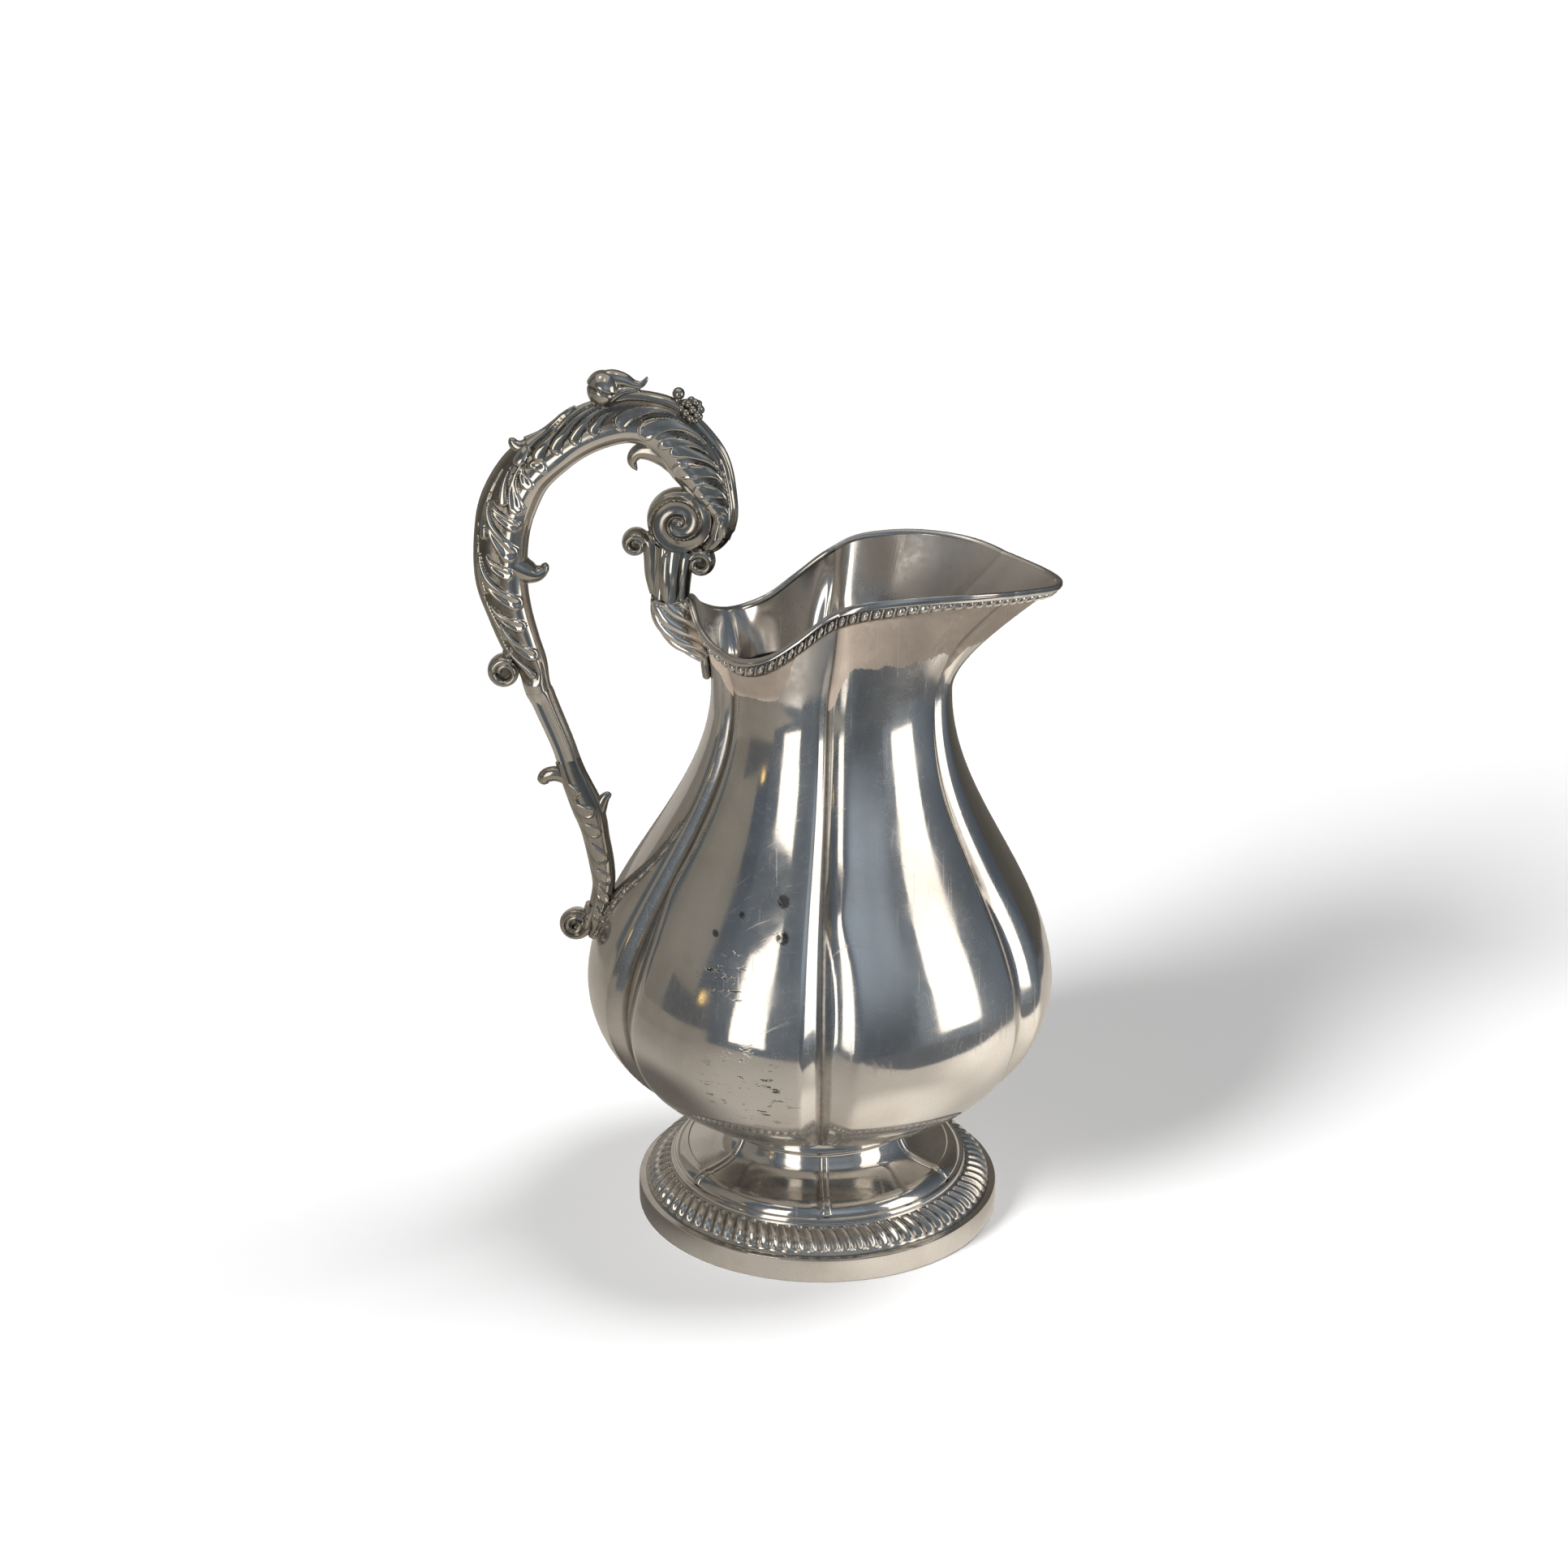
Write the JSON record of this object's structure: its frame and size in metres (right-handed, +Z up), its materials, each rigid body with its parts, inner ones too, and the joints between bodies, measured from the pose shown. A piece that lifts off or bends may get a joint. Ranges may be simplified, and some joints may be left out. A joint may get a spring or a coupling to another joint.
{
  "type": "ewer",
  "caption": "Lobed silver ewer with a wavy spouted mouth, gadrooned foot and lip, and a tall cast acanthus scroll handle.",
  "frame": {"origin": "centre of the circle that the foot rests on", "axes": "+Z up, +X towards the spout's tip, handle on the -X side"},
  "size_m": [0.1896, 0.1518, 0.2897],
  "materials": {
    "raised_silver": "polished silver, lightly tarnished",
    "foot_silver": "polished silver, lightly tarnished",
    "trim_silver": "stamped silver, dark in the furrows",
    "cast_silver": "cast and chased silver, dark in the hollows"
  },
  "bodies": {
    "root": {"body": "raised_silver", "lip_wire": "trim_silver", "lip_band": "trim_silver", "foot_collar": "foot_silver", "foot_dome": "foot_silver", "foot_ribs": "foot_silver", "gadroon_ring": "trim_silver", "foot_band": "foot_silver", "handle_root": "cast_silver", "handle_calyx": "cast_silver", "calyx_curls": "cast_silver", "handle_volute": "cast_silver", "handle_arch": "cast_silver", "handle_arm": "cast_silver", "arm_scroll": "cast_silver", "thumb_leaf": "cast_silver", "berry_cluster": "cast_silver", "handle_stem": "cast_silver", "stem_sheath": "cast_silver", "tail_scroll": "cast_silver"}
  },
  "joints": []
}
